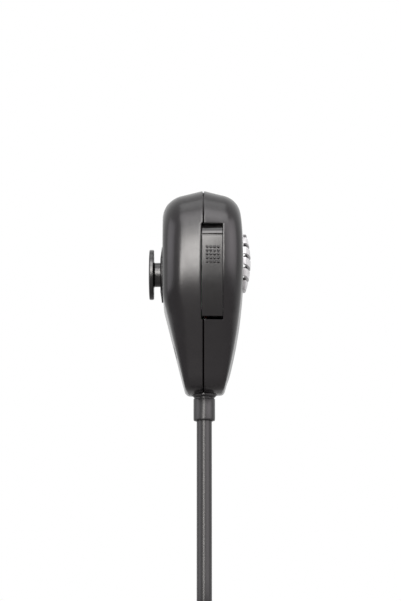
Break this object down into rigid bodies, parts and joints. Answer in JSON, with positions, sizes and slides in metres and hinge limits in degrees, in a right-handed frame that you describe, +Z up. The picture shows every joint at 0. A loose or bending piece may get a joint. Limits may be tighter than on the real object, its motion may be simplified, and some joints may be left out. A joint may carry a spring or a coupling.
{
  "type": "hand microphone",
  "caption": "Palm-held microphone with a side push-to-talk lever, a domed slotted grille, a hang button on the back and a curly cord with a round multi-way plug.",
  "frame": {"origin": "on the hang button's axis, half way along its neck, where a bracket's fork holds it", "axes": "+X out of the grille, -Y out of the push-to-talk lever, +Z up, away from the cord"},
  "size_m": [0.043, 0.0702, 0.3497],
  "materials": {
    "case": "satin black plastic with a fine grain",
    "lever": "satin black plastic, smoother than the case",
    "grille_silver": "matt silver paint",
    "cloth": "thin black cloth",
    "button": "glossy black, moulded over a metal core",
    "button_base": "semi-gloss black",
    "sleeve": "satin black rubber",
    "cord": "satin black rubber jacket",
    "tie": "woven black strap",
    "soft_rubber": "matt black rubber",
    "inner_plastic": "black moulded plastic",
    "red_plastic": "red moulded plastic",
    "blue_plastic": "blue moulded plastic",
    "resistor": "lacquered beige",
    "film": "thin clear film",
    "board": "green lacquered board",
    "wire": "coloured wire sleeving",
    "screw_steel": "zinc plated",
    "plated_steel": "plated sheet steel",
    "spring_steel": "bright spring wire",
    "magnet": "bare sintered magnet",
    "copper": "enamelled copper winding",
    "brass": "gold-coloured contacts",
    "plug_metal": "satin chrome plate"
  },
  "bodies": {
    "root": {"rear_shell": "case", "front_shell": "case", "case_screw_1": "screw_steel", "case_screw_2": "screw_steel", "case_screw_3": "screw_steel", "grille": "grille_silver", "grille_cloth": "cloth", "capsule_boot": "soft_rubber", "capsule_cup": "plated_steel", "capsule_magnet": "magnet", "capsule_pole_plate": "plated_steel", "capsule_coil": "copper", "capsule_diaphragm": "film", "capsule_front": "inner_plastic", "capsule_clamp": "plated_steel", "capsule_screw_1": "screw_steel", "capsule_screw_2": "screw_steel", "ptt_pin": "screw_steel", "ptt_spring": "spring_steel", "switch_body": "inner_plastic", "switch_terminals": "brass", "switch_screw_1": "screw_steel", "switch_screw_2": "screw_steel", "circuit_board": "board", "board_screw_1": "screw_steel", "board_screw_2": "screw_steel", "board_screw_3": "screw_steel", "board_capacitor": "blue_plastic", "board_resistor_1": "resistor", "board_resistor_2": "resistor", "board_resistor_3": "resistor", "level_trimmer": "blue_plastic", "hang_button": "button", "hang_base": "button_base", "hang_screw": "screw_steel", "hang_washer": "plated_steel", "strain_relief": "sleeve", "cord_clamp": "plated_steel", "cord_clamp_screw_1": "screw_steel", "cord_clamp_screw_2": "screw_steel", "cord_inner": "cord", "cord_wires": "wire", "capsule_wires": "wire", "cord_tail": "cord", "cord_coil": "cord", "cord_tie": "tie", "plug_lead": "cord", "plug_shell": "plug_metal", "plug_grommet": "soft_rubber", "plug_clamp": "plug_metal", "plug_clamp_screw_1": "screw_steel", "plug_clamp_screw_2": "screw_steel", "plug_barrel": "plug_metal", "plug_insert": "inner_plastic", "plug_contacts": "brass"},
    "lever": {"ptt_lever": "lever"},
    "plunger": {"switch_plunger": "red_plastic"},
    "coupling": {"coupling_ring": "plug_metal"}
  },
  "joints": [
    {"name": "ptt_press", "type": "hinge", "parent": "root", "child": "lever", "pos_m": [0.02305, -0.0206, -0.0182], "axis": [-1, 0, 0], "range_deg": [0, 2.6], "stiffness_Nm_per_rad": 0.12, "springref_deg": -22.92, "deforming": ["ptt_spring"]},
    {"name": "plunger_slide", "type": "slide", "parent": "root", "child": "plunger", "axis": [0, 1, 0], "range_m": [0, 0.00126]},
    {"name": "coupling_spin", "type": "hinge", "parent": "root", "child": "coupling", "pos_m": [0.01975, -0.024, -0.314], "axis": [0, 0, 1], "continuous": true}
  ],
  "couplings": [
    {"joint": "plunger_slide", "follows": "ptt_press", "m_per_rad": 0.0256}
  ]
}
